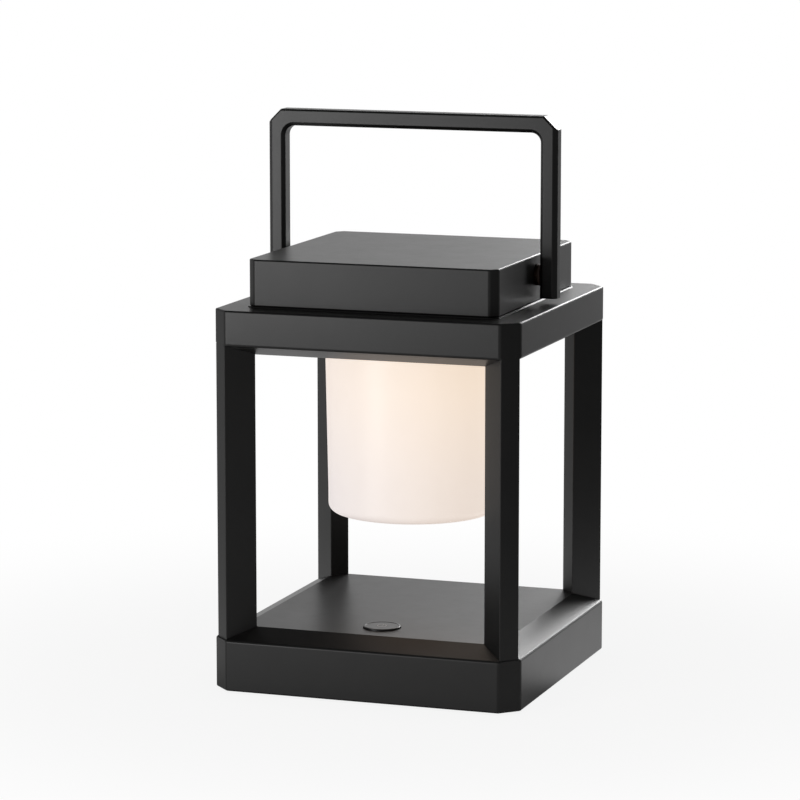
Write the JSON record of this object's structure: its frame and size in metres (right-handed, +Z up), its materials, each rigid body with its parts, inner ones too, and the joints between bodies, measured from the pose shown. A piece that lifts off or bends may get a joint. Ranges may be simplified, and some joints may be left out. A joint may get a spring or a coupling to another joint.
{
  "type": "table lamp",
  "caption": "Square lantern table lamp: open bar frame, hanging opal shade, rechargeable base with push button, and a folding bail handle.",
  "frame": {"origin": "middle of the plane that the rubber feet rest on, under the lamp's vertical axis", "axes": "+Z up along the lamp's vertical axis, +X right along the handle's crossbar, +Y back towards the charging inlet"},
  "size_m": [0.1414, 0.1414, 0.2527],
  "materials": {
    "black_coat": "satin black powder coat on cast and extruded aluminium",
    "button_coat": "satin black, spun face",
    "black_plastic": "fine matte texture",
    "grey_plastic": "moulded matte",
    "black_rubber": "matte",
    "steel": "zinc plated",
    "black_screw": "black oxide",
    "nickel": "nickel plated",
    "bronze": "oil-blackened bronze",
    "brass_plunger": "smooth",
    "brown_fibre": "pressed fibre",
    "bare_aluminium": "turned",
    "circuit_green": "solder mask",
    "circuit_white": "white solder mask",
    "chip_yellow": "phosphor gel",
    "opal": "satin opal diffuser",
    "cell_wrap": "shrink wrap",
    "grey_foam": "closed-cell foam",
    "lead_white": "sleeved lead",
    "lead_red": "sleeved lead",
    "lead_grey": "sleeved lead"
  },
  "bodies": {
    "frame": {"base_housing": "black_coat", "bottom_cover": "black_plastic", "cover_screws": "steel", "rubber_feet": "black_rubber", "battery_tray": "grey_plastic", "battery_cells": "cell_wrap", "cell_strips": "nickel", "battery_foam": "grey_foam", "charge_board": "circuit_green", "charge_parts": "black_plastic", "charge_board_screws": "steel", "inlet_shell": "steel", "inlet_tongue": "black_plastic", "switch_board": "circuit_green", "switch_board_screws": "steel", "switch_body": "black_plastic", "post_front_left": "black_coat", "post_front_right": "black_coat", "post_back_right": "black_coat", "post_back_left": "black_coat", "tie_rods": "steel", "roof_shell": "black_coat", "ceiling_cover": "black_coat", "ceiling_screws": "black_screw", "cap_block": "black_coat", "cap_screws": "steel", "pivot_bushes": "bronze", "friction_washers": "brown_fibre", "spring_washers": "steel", "light_plate": "bare_aluminium", "light_plate_screws": "steel", "light_board": "circuit_white", "light_chips": "chip_yellow", "shade": "opal", "light_lead": "lead_white", "battery_lead": "lead_red", "switch_lead": "lead_grey"},
    "bail": {"handle": "black_coat", "pivot_pins": "steel", "retaining_clips": "steel"},
    "button": {"button_cap": "button_coat", "switch_plunger": "brass_plunger"}
  },
  "joints": [
    {"name": "handle_swing", "type": "hinge", "parent": "frame", "child": "bail", "pos_m": [0, 0, 0.1826], "axis": [1, 0, 0], "range_deg": [-90, 90]},
    {"name": "button_press", "type": "slide", "parent": "frame", "child": "button", "axis": [0, 0, -1], "range_m": [0, 0.0006], "stiffness_N_per_m": 1200, "springref_m": -0.0008}
  ]
}
